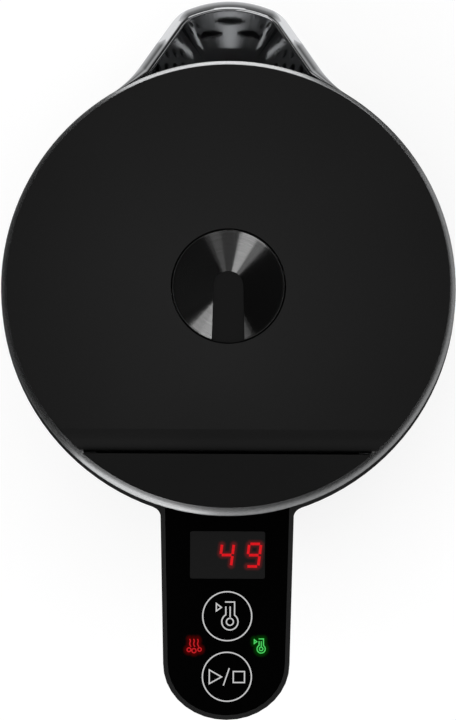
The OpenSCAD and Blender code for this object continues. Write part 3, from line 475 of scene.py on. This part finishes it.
def spout_mesh(front, flank, wall, flare, throat):
    """The spout as one double skin, in millimetres. Its section is carried along the plan of the
    lip: up the outside, over a rolled lip and down the inside. The lip's slope follows straight
    stretches between six knots, and its line is the running sum of the slope's cosine and sine. It
    is steepest beside the corners. Each point below the lip moves a share v of the way to a short
    edge: the outer skin to the beak's lower end, and the inner one to the end of the gullet at the
    depth throat. The outer skin also curls outwards under the lip by an exponential of v. The lip is
    front wide at the nose and flank wide along the sides, and narrows to nothing at the ring."""
    low, high = (np.array(v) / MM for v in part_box("spout"))
    ring_low, ring_high = (np.array(v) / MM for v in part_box("rim_ring"))
    ring_r = (ring_high[0] - ring_low[0]) / 2
    middle_y = (ring_low[1] + ring_high[1]) / 2
    reach, rim = high[1], high[2]
    plan = lip_plan(reach, ring_r, middle_y)
    ahead = np.gradient(plan, axis=0)
    out = np.stack([-ahead[:, 1], ahead[:, 0]], 1) / np.linalg.norm(ahead, axis=1)[:, None]

    # width of the lip: full where its edge faces sideways, and never past the ring
    sideways = 0.69
    beyond = np.linalg.norm(plan - [0, middle_y], axis=1) - ring_r
    full = front + (flank - front) * np.clip(out[:, 0] ** 2 / sideways, 0, 1)
    width = np.minimum(full, beyond + 0.25)
    top = rim - 0.4 * (1 - width / full) ** 2

    # slopes in degrees across the lip, which change with the distance behind the nose
    lean, crest = (np.interp(reach - plan[:, 1], (0, 3, 5.5, 11, 13), at)
                   for at in ((36, 36, 50, 50, 35), (28, 28, 47, 47, 37)))
    knots = np.array([0, 0.08, 0.45, 0.6, 0.7, 1])
    share = np.array([np.interp(np.linspace(0, 1, 61), knots, one) for one in np.eye(len(knots))]).T
    same = np.ones_like(lean)
    slope = np.radians(share @ np.stack([150 * same, lean + 8, lean - 6, crest, crest - 6, -80 * same]))
    along, rise = np.cumsum(np.cos(slope), 0), np.cumsum(np.sin(slope), 0)
    size = width / np.ptp(along, axis=0)
    roll_in, roll_z = (along - along.min(0)) * size, top + (rise - rise.max(0)) * size

    # the skins below the lip, with their rows closest together under it
    v = (np.linspace(1, 0.0, 40) ** 1.6)[:-1, None]
    s = np.linspace(-1, 1, len(plan))
    across = 0.95 * np.clip(6 * s, -1, 1) + 0.05 * s
    beak, gullet = (np.array([half * across, np.full(len(plan), ring_r - back)]).T
                    for half, back in ((2.4, 0.9), (4, 3)))
    beak_z, gullet_z = low[2] + 0.1, rim - throat
    curl = flare * np.clip(beyond / 10, 0, 1) * (1 - np.exp(-v / 0.05)) * (1 - v) ** 2

    def lay(inwards, z, share, edge):
        """Points at a distance inwards of the plan, moved a share of the way to an edge below."""
        flat = plan - out * inwards[..., None]
        return np.dstack([flat + share[..., None] * (edge - plan), z])

    outside = lay(roll_in[0] + curl, roll_z[0] + v * (beak_z - roll_z[0]), v * same, beak)
    roll = lay(roll_in, roll_z, np.zeros_like(roll_in), beak)
    inside = lay(roll_in[-1] + v * (wall - roll_in[-1]), roll_z[-1] + v * (gullet_z - roll_z[-1]),
                 v * same, gullet)[::-1]
    grid = np.concatenate([outside, roll, inside])
    rows, columns = grid.shape[:2]
    k = np.arange(rows)[:, None] * columns + np.arange(columns - 1)
    after = (k + columns) % (rows * columns)
    quads = np.stack([k, k + 1, after + 1, after], 2).reshape(-1, 4)
    ends = np.arange(rows) * columns
    return grid.reshape(-1, 3), quads.tolist() + [ends.tolist(), (ends + columns - 1)[::-1].tolist()]


def coil_mesh(low, high, wire, turns, sides):
    """A coil spring that fills the box from low to high, in millimetres. Its line turns at the box's
    radius less the wire's, and rises evenly: (r cos 2 pi n t, r sin 2 pi n t, z). Round each of its
    points runs a circle of the wire's radius, in the plane of the axis."""
    t = np.linspace(0, 1, turns * 28 + 1)[:, None]
    a, b = 2 * np.pi * turns * t, np.linspace(0, 2 * np.pi, sides, endpoint=False)
    centre, line = (low + high) / 2, (high.x - low.x) / 2 - wire
    r = line + wire * np.cos(b)
    z = low.z + wire + (high.z - low.z - 2 * wire) * t + wire * np.sin(b)
    corners = np.stack([centre.x + r * np.cos(a), centre.y + r * np.sin(a), z], 2).reshape(-1, 3)
    k, j = np.arange(len(t) - 1)[:, None] * sides, np.arange(sides)
    after = (j + 1) % sides
    quads = np.stack([k + j, k + after, k + sides + after, k + sides + j], 2).reshape(-1, 4)
    last = (len(t) - 1) * sides
    return corners, quads.tolist() + [list(range(sides))[::-1], list(range(last, last + sides))]


def facing_out(corners, faces):
    """The faces, all turned round if the solid that they close has a negative volume: the sum of
    a . (b x c) over the triangles of each face's fan."""
    fans = np.array([(f[0], f[k], f[k + 1]) for f in faces for k in range(1, len(f) - 1)])
    a, b, c = (corners[fans[:, k]] for k in range(3))
    return faces if (a * np.cross(b, c)).sum() > 0 else [f[::-1] for f in faces]


def middle(node):
    """The middle of a CAD node's box, in millimetres."""
    low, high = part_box(node)
    return (low + high) / 2 / MM


# ------------------------------------------------------------------ settings


def colour_setting(name, code, description):
    """A colour property from an sRGB hex code."""
    return FloatVectorProperty(name=name, description=description, subtype="COLOR",
                               default=linear(code), min=0, max=1)


def length_setting(name, millimetres, description):
    """A length property from a size in millimetres."""
    return FloatProperty(name=name, description=description, default=millimetres * MM, unit="LENGTH")


class KettleColours(bpy.types.PropertyGroup):
    """Colours of the parts in view."""
    shell: colour_setting("Shell and handle", "#161616", "Painted jug wall and moulded handle")
    base: colour_setting("Base", "#151515", "Power base and the jug's foot")
    lid: colour_setting("Lid", "#141414", "Lid and the deck behind it")
    frame: colour_setting("Frame", "#191919", "Frame round the touch panel")
    spout: colour_setting("Spout", "#d2d3d5", "Polished spout")
    rim: colour_setting("Rim", "#d9dadb", "Turned rim ring")
    pot: colour_setting("Pot", "#a2a3a4", "Drawn inner pot")
    print: colour_setting("Print", "#c4c4c4", "Ink of the touch keys")
    figures: colour_setting("Figures", "#d9141c", "Lit temperature figures")


class KettleSpout(bpy.types.PropertyGroup):
    """Sizes of the spout's rolled lip and throat."""
    front: length_setting("Front", 3.3, "Width of the lip at the nose")
    flank: length_setting("Flank", 4.1, "Width of the lip at the sides")
    wall: length_setting("Wall", 0.8, "Thickness of the steel")
    flare: length_setting("Flare", 1.6, "How far the outside curls out under the lip")
    throat: length_setting("Throat", 45, "Depth of the inner skin below the rim")


class KettleSpring(bpy.types.PropertyGroup):
    """Sizes of the coil spring under the press button."""
    wire: length_setting("Wire", 0.4, "Radius of the wire")
    turns: IntProperty(name="Turns", description="Turns of the coil", default=6)
    travel: length_setting("Travel", 2.5, "How far the button presses it together")


class KettlePrints(bpy.types.PropertyGroup):
    """Sizes of the printed and lit signs on the handle."""
    ring: length_setting("Key ring", 7.7, "Radius of the ring printed round a touch key")
    line: length_setting("Line", 0.4, "Width of a printed line")
    figure: length_setting("Figure", 3.54, "Half height of a lit figure")
    bar: length_setting("Bar", 0.82, "Width of a lit bar")
    lift: length_setting("Lift", 0.03, "Height of each printed or lit layer above the one below")


class KettleStudio(bpy.types.PropertyGroup):
    """Camera and lamps."""
    distance: length_setting("Distance", 1000, "Height of the camera above the lid")
    lens: FloatProperty(name="Lens", description="Focal length in millimetres", default=160,
                        unit="CAMERA")
    back: length_setting("Back", 23.1, "How far the camera stands behind the jug's axis")
    roll: FloatProperty(name="Roll", description="Turn of the camera about its line of sight",
                        default=math.radians(0.32), subtype="ANGLE")
    sky: FloatProperty(name="Sky", description="Strength of the even light from all round", default=0.95)


# ------------------------------------------------------------------ operators


class KETTLE_OT_body(bpy.types.Operator):
    """Finishes of the jug's walls, rim, handle and base"""
    bl_idname = "kettle.body"
    bl_label = "Jug and base"

    def execute(self, context):
        paint = context.scene.kettle_colours
        # baked satin paint on steel: one soft sheen down each side
        dress(moulded("black_painted_steel", paint.shell, 0.42, 0.25, 0.01), "outer_shell")
        # grained polypropylene: duller than the wall above it
        dress(moulded("black_polypropylene", paint.base, 0.5, 0.3, 0.02),
              "base_top", "base_bottom", "bottom_cover", "cord_gland")
        # spark-grained ABS: the wall's black, a little flatter
        dress(moulded("handle_abs", paint.shell, 0.45, 0.25, 0.015), "handle_shell", "handle_inner_cover")
        dress(moulded("frame_abs", paint.frame, 0.45, 0.25, 0.01, 0.3), "handle_frame")
        # lathe-turned stainless steel: a bright line that fades and returns round the rim
        dress(turned_steel("turned_rim", paint.rim, 0.24), "rim_ring")
        # deep-drawn stainless steel, blasted inside: grey, with cloudy reflections
        dress(plain_metal("drawn_pot", paint.pot, 0.38, 2.0, 0.6), "inner_pot")
        # rubber and silicone: flat black
        dress(moulded("foot_rubber", "#141414", 0.8, 0.5, 0.03, 0.3), "foot_ring", "rim_seal")
        return {"FINISHED"}


class KETTLE_OT_spout(bpy.types.Operator):
    """Rolled-lip spout in polished steel"""
    bl_idname = "kettle.spout"
    bl_label = "Spout"

    def execute(self, context):
        sizes = context.scene.kettle_spout
        corners, faces = spout_mesh(sizes.front / MM, sizes.flank / MM, sizes.wall / MM,
                                    sizes.flare / MM, sizes.throat / MM)
        # mirror-polished stainless steel: black and white reflections side by side along the lip
        steel = polished_steel("polished_spout", context.scene.kettle_colours.spout, 0.05, 0.06)
        piece = to_mesh("pouring_spout", corners, facing_out(corners, faces), steel,
                        "jug")
        piece.data.shade_smooth()
        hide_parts("spout")
        return {"FINISHED"}


class KETTLE_OT_lid(bpy.types.Operator):
    """Finishes of the lid, rear deck and press button"""
    bl_idname = "kettle.lid"
    bl_label = "Lid and button"

    def execute(self, context):
        black = context.scene.kettle_colours.lid
        # satin ABS: an even dark grey from above
        dress(moulded("lid_abs", black, 0.26, 0.3, 0.001, 0.1), "lid_top")
        dress(moulded("deck_abs", black, 0.4, 0.3, 0.004, 0.1), "rear_deck")
        tongue_depth = 0.6 * MM
        # spun and anodised aluminium: bright wedges on black, round a dull tongue
        dress(spun_cap("spun_black_cap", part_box("press_button")[1].z - tongue_depth), "press_button")
        # grained polypropylene tray, grey silicone lip and white acetal latches: all dull
        dress(moulded("lid_lining_pp", "#1a1b1c", 0.5, 0.4, 0.02), "lid_underside")
        dress(moulded("lid_silicone", "#4c4c4c", 0.6, 0.5, 0.01, 0.3), "lid_seal")
        dress(moulded("latch_acetal", "#d0d0cb", 0.4, 0.5, 0.01), "latch_left", "latch_right")
        return {"FINISHED"}


class KETTLE_OT_spring(bpy.types.Operator):
    """Coil spring under the press button, which rides on the button"""
    bl_idname = "kettle.spring"
    bl_label = "Button spring"

    def execute(self, context):
        sizes = context.scene.kettle_spring
        low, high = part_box("button_spring")
        corners, faces = coil_mesh(low / MM, high / MM, sizes.wire / MM, sizes.turns, 12)
        # drawn and tempered wire: a bright line along each turn
        piece = to_mesh("button_coil", corners, facing_out(corners, faces),
                        plain_metal("spring_wire", "#a6a8aa", 0.3, 0.5), "button")
        piece.data.shade_smooth()
        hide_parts("button_spring")
        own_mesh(piece)
        return {"FINISHED"}


class KETTLE_OT_works(bpy.types.Operator):
    """Finishes of the fasteners, contacts, heater and electronics inside"""
    bl_idname = "kettle.works"
    bl_label = "Inner works"

    def execute(self, context):
        # zinc plate: pale and slightly cloudy
        dress(plain_metal("zinc_plated_screws", "#b9bcbf", 0.34, 0.8),
              "base_screws", "bottom_screws", "handle_screws", "lid_screws", "hinge_pins")
        # tempered wire: bright along each turn
        dress(plain_metal("spring_steel", "#a6a8aa", 0.3, 0.5), "hinge_springs")
        # stamped brass: warm and bright
        dress(plain_metal("contact_brass", "#c8a14c", 0.3, 0.6),
              "socket_contacts", "connector_pins", "touch_springs")
        # die-cast aluminium: dull and mottled
        dress(plain_metal("cast_aluminium", "#a7a9ab", 0.45, 1.2), "heater_plate")
        # sheathed steel: grey from heat
        dress(plain_metal("element_steel", "#8f9194", 0.4, 1.0), "heating_element", "temperature_sensor")
        # rolled bimetal: reddish and bright
        dress(plain_metal("bimetal_discs", "#b08a58", 0.38, 0.8), "boil_dry_cutouts")
        # glass-filled nylon, moulded: dark grey and flat
        dress(moulded("connector_nylon", "#2a2a2b", 0.5, 0.35, 0.02), "base_socket", "connector_housing")
        # lacquered glass-fibre laminate: green with a soft gloss
        dress(moulded("board_laminate", "#2c5f3a", 0.45, 0.6, 0.01), "power_board", "control_board")
        dress(moulded("component_plastic", "#202225", 0.45, 0.4, 0.01),
              "power_relay", "display_module", "buzzer")
        # cast clear resin: pale and smooth
        dress(moulded("clear_resin", "#dcdad2", 0.25, 0.5, 0.005), "indicator_leds", "light_pipes")
        # extruded insulation: plain colours with a low sheen
        dress(moulded("ribbon_pvc", "#94999f", 0.5, 0.6, 0.01), "ribbon_cable")
        dress(moulded("heater_lead_silicone", "#7a2b22", 0.5, 0.4, 0.01), "heater_leads")
        dress(moulded("supply_lead_pvc", "#6f452a", 0.5, 0.4, 0.01), "base_leads")
        return {"FINISHED"}


class KETTLE_OT_panel(bpy.types.Operator):
    """Touch panel: acrylic, printed keys, lit figures and lit signs"""
    bl_idname = "kettle.panel"
    bl_label = "Touch panel"

    def execute(self, context):
        # polished acrylic: deep black, and dark grey over the display
        dress(panel_glass("black_acrylic", ACRYLIC, 0.05, 0.05), "control_panel")
        dress(panel_glass("smoked_window", SMOKED, 0.2, 0.1), "display_window")
        sizes, paint = context.scene.kettle_prints, context.scene.kettle_colours
        lift = sizes.lift / MM
        face, glass = (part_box(name)[1].z / MM for name in ("control_panel", "display_window"))
        self.print_keys(sizes, paint, face + lift)
        self.light_window(sizes, paint, glass + lift, lift)
        self.light_signs(face + lift, lift)
        return {"FINISHED"}

    def print_keys(self, sizes, paint, height):
        """The two keys: a ring round a sign, centred over each end of the touch springs."""
        low, high = (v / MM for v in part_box("touch_springs"))
        reach, x = (high.x - low.x) / 2, middle("touch_springs").x
        white = ink("pale_ink", paint.print)
        for name, y, signs in (("temperature_key", high.y - reach, thermometer(2.55)),
                               ("start_key", low.y + reach, start_stop())):
            ringed = [(circle((0, 0), sizes.ring / MM), True)] + signs
            print_strokes(name + "_print", ringed, (x, y), height, sizes.line / MM, white,
                          "jug")

    def light_window(self, sizes, paint, height, lift):
        """Two lit figures, with their glow on the window round them just below."""
        window = middle("display_window")
        centre, patch, step = (window.x, window.y), (23.4, 14.6), 0.25
        # the middle of each figure, counted from the window's, and the bars that are lit
        placed = ((-0.3, "bcfg"), (8.24, "abcdfg"))
        width, lean, gap = 3.70, 0.125, 0.34
        figures = [(line + (x, 0), closed) for x, bars in placed
                   for line, closed in digit(bars, width, sizes.figure / MM, lean, gap)]
        print_strokes("temperature_figures", figures, centre, height + lift, sizes.bar / MM,
                      lit("red_light", paint.figures, 1.0), "jug")
        glow_patch("temperature_glow", figures, centre, patch, step, height,
                   halo("window_glow", SMOKED, "#500408", 1.0, 0.2), "jug")

    def light_signs(self, height, lift):
        """The heating and ready signs over the two indicator lamps, with their glow just below."""
        low, high = (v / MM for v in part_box("indicator_leds"))
        y, patch, step = (low.y + high.y) / 2, (7.2, 7.6), 0.2
        heating = ("heating", heat(), (low.x + 1.4, y), 0.38, lit("red_sign_light", "#bd1a20", 1.0),
                   halo("red_sign_glow", ACRYLIC, "#400000", 1.0, 0.05))
        ready = ("ready", thermometer(1.29), (high.x - 1.8, y - 0.05), 0.34,
                 lit("green_sign_light", "#4fdc66", 0.9),
                 halo("green_sign_glow", ACRYLIC, "#003000", 1.0, 0.05))
        for name, strokes, centre, width, light, glow in (heating, ready):
            print_strokes(name + "_light", strokes, centre, height + lift, width, light,
                          "jug")
            glow_patch(name + "_glow", strokes, centre, patch, step, height, glow,
                       "jug")


def lamp(name, shape, size, power, place, target):
    """An area lamp that the camera doesn't see, facing a point. Power is in watts."""
    data = bpy.data.lights.new(name, "AREA")
    data.shape = shape
    data.size, data.size_y = size
    data.energy = power
    made = bpy.data.objects.new(name, data)
    made.location = place
    made.rotation_euler = (Vector(target) - Vector(place)).to_track_quat("-Z", "Y").to_euler()
    made.visible_camera = False
    bpy.context.scene.collection.objects.link(made)
    return made


def light_only(source, node):
    """Lets a lamp light one CAD node and nothing else."""
    group = bpy.data.collections.new("lit_by_" + source.name)
    group.objects.link(NODES[node])
    source.light_linking.receiver_collection = group


def band(tree, value, low, high, soft=0.01):
    """One where a value lies between two limits and nought elsewhere, with narrow soft edges."""
    rise = add(tree, "ShaderNodeMapRange", {"interpolation_type": "SMOOTHSTEP"},
               {"Value": value, "From Min": low - soft, "From Max": low + soft})
    fall = add(tree, "ShaderNodeMapRange", {"interpolation_type": "SMOOTHSTEP"},
               {"Value": value, "From Min": high + soft, "From Max": high - soft})
    return add(tree, "ShaderNodeMath", {"operation": "MULTIPLY"},
               {0: rise.outputs["Result"], 1: fall.outputs["Result"]}).outputs[0]


def turned_to(tree, aim, start, end, soft=0.01):
    """One in the directions between two angles round the vertical, in degrees, with edges that are
    soft over a small angle in radians."""
    turn, half = math.radians(start + end) / 2, math.radians(end - start) / 2
    flat = add(tree, "ShaderNodeVectorMath", {"operation": "MULTIPLY"}, {0: aim, 1: (1, 1, 0)})
    level = add(tree, "ShaderNodeVectorMath", {"operation": "NORMALIZE"}, {0: flat.outputs[0]})
    near = add(tree, "ShaderNodeVectorMath", {"operation": "DOT_PRODUCT"},
               {0: level.outputs[0], 1: (math.cos(turn), math.sin(turn), 0)})
    return add(tree, "ShaderNodeMapRange", {"interpolation_type": "SMOOTHSTEP"},
               {"Value": near.outputs["Value"], "From Min": math.cos(half + soft),
                "From Max": math.cos(half - soft)}).outputs["Result"]


def strongest(tree, values):
    """The largest of several values between nought and one."""
    best = values[0]
    for value in values[1:]:
        best = add(tree, "ShaderNodeMath", {"operation": "MAXIMUM"}, {0: best, 1: value}).outputs[0]
    return best


# Bands of the sky that only reflections show. Each lies between two sines of the angle above the
# horizon: the spout's lip shows the front one, the rim ring the low and the button's face the high.
BANDS = {"front": (0.5, 0.62), "low": (0.64, 0.913), "high": (0.927, 0.99)}

# Panes of light in those bands: the band, start and end in degrees round the vertical, strength
PANES = (
    ("low", 0, 360, 0.035),     # rim, all round
    ("low", 265, 395, 0.36),    # rim, from the handle round its right side
    ("low", 227, 265, 1.15),    # rim, left of the handle
    ("low", 70, 118, 1.3),      # rim, where the spout joins it
    ("front", 82, 99, 1.2),     # nose of the spout
    ("high", 235, 257, 1.25),   # button: the two bright wedges
    ("high", 51, 77, 1.25),
    ("high", 99, 113, 0.25),    # button: the grey wedges beside them
    ("high", 279, 293, 0.25),
    ("high", 77, 99, 0.115),    # button: the dark grey between
    ("high", 257, 279, 0.115),
    ("high", 293, 411, 0.014),  # button: a trace on its right
)


class KETTLE_OT_studio(bpy.types.Operator):
    """Floor, backdrop, lamps and camera"""
    bl_idname = "kettle.studio"
    bl_label = "Studio"

    def execute(self, context):
        settings, scene = context.scene.kettle_studio, context.scene
        scene.view_settings.view_transform = "Standard"
        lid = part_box("lid_top")[1].z
        self.air(scene, settings.sky)
        self.floor(scene)
        self.lamps(lid, lid + settings.distance)
        data = bpy.data.cameras.new("camera")
        data.lens, data.sensor_width, data.clip_end = settings.lens, 36, 20
        camera = bpy.data.objects.new("camera", data)
        camera.location = (0, -settings.back, lid + settings.distance)
        camera.rotation_euler = (0, 0, settings.roll)
        scene.collection.objects.link(camera)
        scene.camera = camera
        return {"FINISHED"}

    def air(self, scene, sky):
        """White behind everything, an even light on every surface, and a darker room with panes of
        light for reflections. The room is pale at the horizon and dark overhead."""
        world = bpy.data.worlds.new("studio_air")
        scene.world = world
        world.use_nodes = True
        # not sampled as a lamp is, so that each ray reads the sky by what kind of ray it is
        world.cycles.sampling_method = "NONE"
        tree = world.node_tree
        tree.nodes.clear()
        aim = add(tree, "ShaderNodeTexCoord").outputs["Generated"]
        height = add(tree, "ShaderNodeSeparateXYZ", None, {0: aim}).outputs["Z"]
        bands = {name: band(tree, height, *limits) for name, limits in BANDS.items()}
        room = add(tree, "ShaderNodeMapRange", {"interpolation_type": "SMOOTHSTEP"},
                   {"Value": height, "From Min": 0.66, "From Max": -0.05, "To Min": 0.004,
                    "To Max": 0.7}).outputs["Result"]
        for name, start, end, shine in PANES:
            sector = turned_to(tree, aim, start, end) if end - start < 360 else 1.0
            pane = add(tree, "ShaderNodeMath", {"operation": "MULTIPLY"}, {0: bands[name], 1: sector})
            room = add(tree, "ShaderNodeMath", {"operation": "MULTIPLY_ADD"},
                       {0: pane.outputs[0], 1: shine, 2: room}).outputs[0]
        path = add(tree, "ShaderNodeLightPath").outputs
        mirrored = strongest(tree, [path["Is Glossy Ray"], path["Is Transmission Ray"]])
        even, glossy, white = (add(tree, "ShaderNodeBackground", None,
                                   {"Color": (1, 1, 1, 1), "Strength": strength}).outputs[0]
                               for strength in (sky, room, 1.0))
        on_object = add(tree, "ShaderNodeMixShader", None, {"Fac": mirrored, 1: even, 2: glossy})
        seen = add(tree, "ShaderNodeMixShader", None,
                   {"Fac": path["Is Camera Ray"], 1: on_object.outputs[0], 2: white})
        tree.links.new(seen.outputs[0], add(tree, "ShaderNodeOutputWorld").inputs[0])

    def floor(self, scene):
        """A pale sheet just under the feet, which glows enough to look white and keeps shadows."""
        half, under, paper, glow = 8, 0.05 * MM, 0.36, 0.7
        mesh = bpy.data.meshes.new("floor")
        mesh.from_pydata([(x * half, y * half, -under) for x, y in ((-1, -1), (1, -1), (1, 1), (-1, 1))],
                         [], [[0, 1, 2, 3]])
        sheet = bpy.data.objects.new("floor", mesh)
        scene.collection.objects.link(sheet)
        material, tree, output, _ = blank("pale_floor")
        matt = add(tree, "ShaderNodeBsdfDiffuse", None, {"Color": (paper, paper, paper, 1)})
        path = add(tree, "ShaderNodeLightPath").outputs
        share = strongest(tree, [path["Is Camera Ray"], path["Is Glossy Ray"], path["Is Transmission Ray"]])
        strength = add(tree, "ShaderNodeMath", {"operation": "MULTIPLY"}, {0: share, 1: glow})
        light = add(tree, "ShaderNodeEmission", None,
                    {"Color": (1, 1, 1, 1), "Strength": strength.outputs[0]})
        both = add(tree, "ShaderNodeAddShader", None, {0: matt.outputs[0], 1: light.outputs[0]})
        tree.links.new(both.outputs[0], output.inputs[0])
        mesh.materials.append(material)

    def lamps(self, lid, above):
        """A soft key lamp, a disc above the lid, and a narrow beam down the spout's throat."""
        key = lamp("key_lamp", "RECTANGLE", (0.9, 0.9), 6, (-0.9, -1.1, 1.6), (0, 0, 0.15))
        key.visible_glossy = False
        over = (-0.012, 0.02)
        disc = lamp("lid_lamp", "DISK", (0.17, 0.17), 0.25, (*over, above), (*over, lid))
        light_only(disc, "lid_top")
        beam = lamp("spout_lamp", "RECTANGLE", (0.002, 0.02), 0.0007, (0, 0.256, lid + 0.266),
                    (0, 0.068, lid - 0.029))
        beam.data.spread = math.radians(0.8)
        light_only(beam, "inner_pot")


class KETTLE_PT_panel(bpy.types.Panel):
    """Lists the kettle's pieces, and the sizes and colours that can be changed"""
    bl_label = "Kettle"
    bl_space_type = "VIEW_3D"
    bl_region_type = "UI"
    bl_category = "Kettle"

    def draw(self, context):
        for kind in OPERATORS:
            self.layout.operator(kind.bl_idname)
        for group in GROUPS:
            settings = getattr(context.scene, group)
            for name in settings.__annotations__:
                self.layout.prop(settings, name)


OPERATORS = (KETTLE_OT_body, KETTLE_OT_spout, KETTLE_OT_lid, KETTLE_OT_spring, KETTLE_OT_works,
             KETTLE_OT_panel, KETTLE_OT_studio)
GROUPS = {"kettle_colours": KettleColours, "kettle_spout": KettleSpout, "kettle_spring": KettleSpring,
          "kettle_prints": KettlePrints, "kettle_studio": KettleStudio}
CLASSES = (*GROUPS.values(), *OPERATORS, KETTLE_PT_panel)


def register():
    """Registers the classes and hangs the settings on the scene."""
    for kind in CLASSES:
        bpy.utils.register_class(kind)
    for name, kind in GROUPS.items():
        setattr(bpy.types.Scene, name, PointerProperty(type=kind))


def unregister():
    """Takes the settings and classes away again."""
    for name in GROUPS:
        delattr(bpy.types.Scene, name)
    for kind in reversed(CLASSES):
        bpy.utils.unregister_class(kind)


def main():
    register()
    for kind in OPERATORS:
        group, name = kind.bl_idname.split(".")
        getattr(getattr(bpy.ops, group), name)()


if __name__ == "__main__":
    main()
